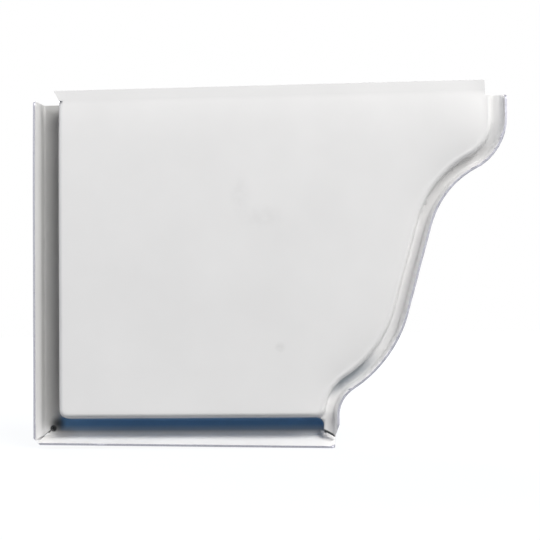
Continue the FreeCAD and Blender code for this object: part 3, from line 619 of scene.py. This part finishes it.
def looking(tree):
    """1 for rays that look: the camera's, and those of mirror images and glass. 0 for rays of light."""
    path = add_node(tree, "ShaderNodeLightPath").outputs
    direct = add_node(tree, "ShaderNodeMath", {
        0: path["Is Camera Ray"], 1: path["Is Glossy Ray"]}, operation="MAXIMUM")
    either = add_node(tree, "ShaderNodeMath", {
        0: direct.outputs[0], 1: path["Is Transmission Ray"]}, operation="MAXIMUM")
    return either.outputs[0]


def set_world():
    """A dim cool room; the camera, and what mirrors the room, see plain white."""
    world = bpy.data.worlds.new("room")
    bpy.context.scene.world = world
    world.use_nodes = True
    tree = world.node_tree
    tree.nodes.clear()
    seen = looking(tree)
    dim = add_node(tree, "ShaderNodeBackground", {"Color": linear("#a8c0dc"), "Strength": 0.05})
    white = add_node(tree, "ShaderNodeBackground", {"Color": linear("#ffffff"), "Strength": 1.0})
    mixed = add_node(tree, "ShaderNodeMixShader", {
        0: seen, 1: dim.outputs["Background"], 2: white.outputs["Background"]})
    add_node(tree, "ShaderNodeOutputWorld", {"Surface": mixed.outputs["Shader"]})


def set_floor():
    """A pale floor under the cap's lowest edge. It shows white, with the cap's own faint shadow."""
    mesh = bpy.data.meshes.new("floor")
    level = CAD_BOX[0][2]
    corners = [(x * FLOOR_SIZE, y * FLOOR_SIZE, level) for x, y in ((-1, -1), (1, -1), (1, 1), (-1, 1))]
    mesh.from_pydata(corners, [], [(0, 1, 2, 3)])
    floor = link("floor", mesh)
    material = bpy.data.materials.new("pale_floor")
    material.use_nodes = True
    tree = material.node_tree
    tree.nodes.clear()
    seen = looking(tree)
    matt = add_node(tree, "ShaderNodeBsdfDiffuse", {"Color": linear("#4a5058")})
    place = add_node(tree, "ShaderNodeTexCoord").outputs["Object"]
    away = add_node(tree, "ShaderNodeVectorMath", {0: place}, operation="LENGTH")
    open_floor = add_node(tree, "ShaderNodeMapRange", {
        "Value": away.outputs["Value"],
        "From Min": FLOOR_GLOW_REACH[0], "From Max": FLOOR_GLOW_REACH[1],
        "To Min": FLOOR_GLOW[0], "To Max": FLOOR_GLOW[1]}, interpolation_type="SMOOTHSTEP")
    shine = add_node(tree, "ShaderNodeMath", {
        0: seen, 1: open_floor.outputs["Result"]}, operation="MULTIPLY")
    glow = add_node(tree, "ShaderNodeEmission", {"Color": linear("#ffffff"), "Strength": shine.outputs[0]})
    mixed = add_node(tree, "ShaderNodeAddShader", {0: matt.outputs["BSDF"], 1: glow.outputs["Emission"]})
    add_node(tree, "ShaderNodeOutputMaterial", {"Surface": mixed.outputs["Shader"]})
    mesh.materials.append(material)


def set_camera():
    """A level look at the panel from a little below its middle and to its right."""
    camera = bpy.data.cameras.new("camera")
    camera.sensor_width = 36.0
    camera.lens = 36.0 / 2 / math.tan(math.radians(25.6) / 2)
    item = link("camera", camera)
    azimuth = math.radians(4.4)
    elevation = math.radians(-2.5)
    roll = -0.0115
    target = Vector((65.14, -8.0, 45.74)) * MM
    way = Vector((
        math.sin(azimuth) * math.cos(elevation),
        -math.cos(azimuth) * math.cos(elevation),
        math.sin(elevation),
    ))
    turn = way.to_track_quat("Z", "Y").to_matrix().to_4x4() @ Matrix.Rotation(roll, 4, "Z")
    item.matrix_world = Matrix.Translation(target + way * 326 * MM) @ turn
    camera.clip_start = 0.01
    bpy.context.scene.camera = item


cap = drawn_sheet()
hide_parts("end_cap")
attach(cap, "root")

set_world()
set_floor()
set_camera()
light("key_light", (0.45, -0.6, 0.66), 2.5, 1.2, 1.15, "#fffefb")
light("side_light", (0.9, -0.32, 0.3), 2.5, 0.8, 0.15, "#fffefb")
light("fill_light", (-0.76, -0.45, 0.47), 2.5, 1.0, 0.34, "#fdfdff")
light("back_light", (-0.5, 0.75, 0.5), 2.5, 1.2, 0.8, "#ffffff")

bpy.context.scene.view_settings.view_transform = "Standard"
